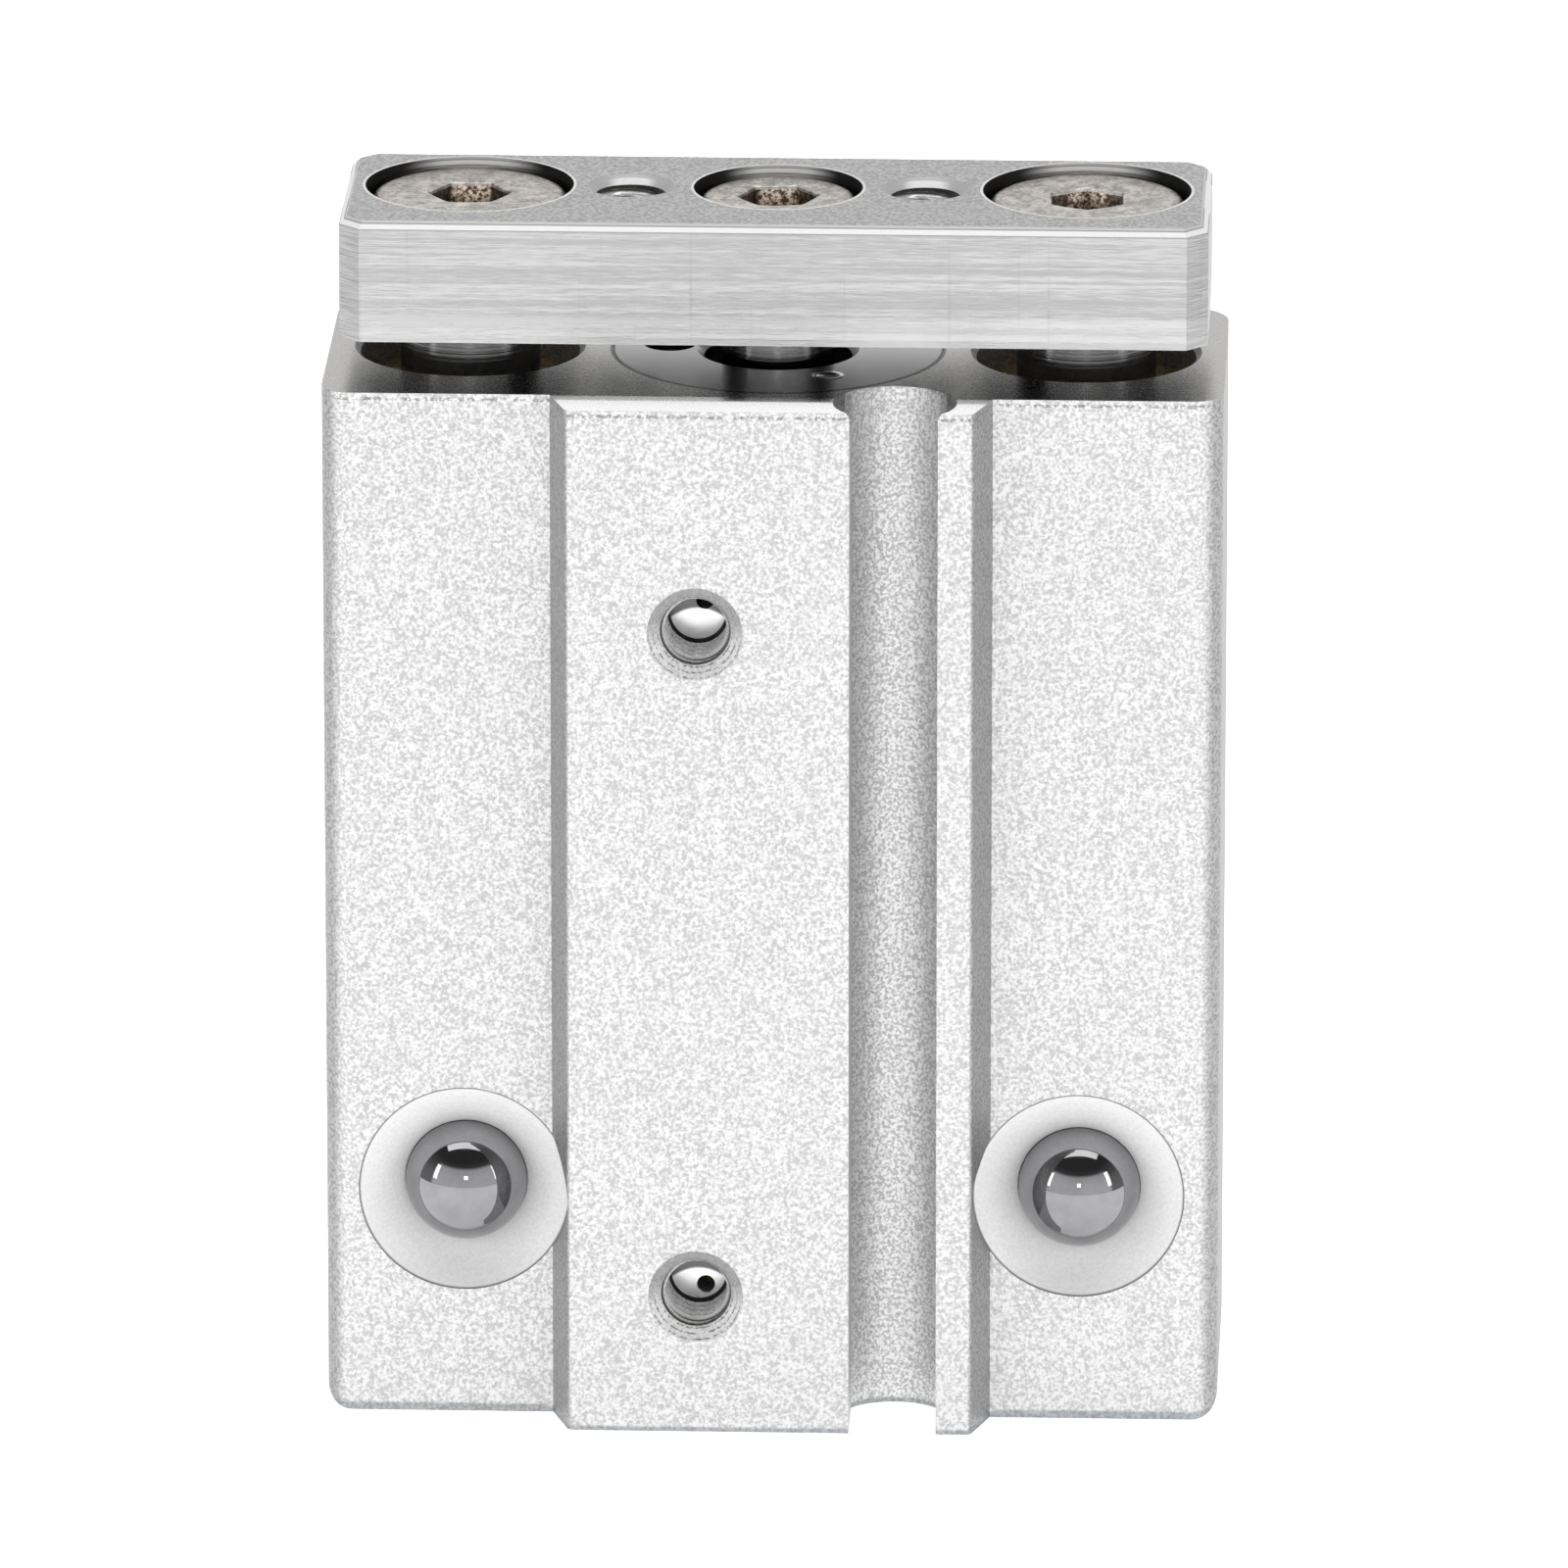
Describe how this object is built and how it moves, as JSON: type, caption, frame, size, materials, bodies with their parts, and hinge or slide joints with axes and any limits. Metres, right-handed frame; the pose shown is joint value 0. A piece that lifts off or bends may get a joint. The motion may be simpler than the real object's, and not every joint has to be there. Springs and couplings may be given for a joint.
{
  "type": "guided pneumatic cylinder",
  "caption": "Miniature guided pneumatic cylinder: flat aluminium body with front ports and a sensor groove, and an end plate carried by a piston rod between guide rods.",
  "frame": {"origin": "on the base face, under the bore axis", "axes": "+Z along the bore towards the end plate, -Y towards the ports, +X towards the right guide rod"},
  "size_m": [0.032, 0.0145, 0.0439],
  "materials": {
    "anodised_aluminium": "bead-blasted and clear anodised",
    "machined_plate": "milled, clear anodised",
    "cover_aluminium": "faced after assembly",
    "bearing_bronze": "sintered, oil filled",
    "ground_steel": "hard chromed and ground",
    "ball_steel": "polished",
    "bolt_steel": "nickel plated",
    "spring_steel": "phosphated",
    "seal_rubber": "moulded nitrile",
    "bumper_urethane": "moulded urethane",
    "piston_aluminium": "turned",
    "magnet": "bonded ferrite"
  },
  "bodies": {
    "housing": {"body": "anodised_aluminium", "rod_cover": "cover_aluminium", "rod_bush": "bearing_bronze", "rod_seal": "seal_rubber", "cover_o_ring": "seal_rubber", "rod_side_bumper": "bumper_urethane", "head_side_bumper": "bumper_urethane", "left_steel_ball": "ball_steel", "right_steel_ball": "ball_steel", "left_lower_guide_bush": "bearing_bronze", "left_upper_guide_bush": "bearing_bronze", "right_lower_guide_bush": "bearing_bronze", "right_upper_guide_bush": "bearing_bronze"},
    "slider": {"end_plate": "machined_plate", "piston_rod": "ground_steel", "piston": "piston_aluminium", "piston_seal": "seal_rubber", "piston_magnet": "magnet", "magnet_retainer": "piston_aluminium", "piston_nut": "spring_steel", "piston_rod_bolt": "bolt_steel", "left_guide_rod": "ground_steel", "right_guide_rod": "ground_steel", "left_guide_rod_bolt": "bolt_steel", "right_guide_rod_bolt": "bolt_steel"}
  },
  "joints": [
    {"name": "rod_stroke", "type": "slide", "parent": "housing", "child": "slider", "axis": [0, 0, 1], "range_m": [0, 0.015]}
  ]
}
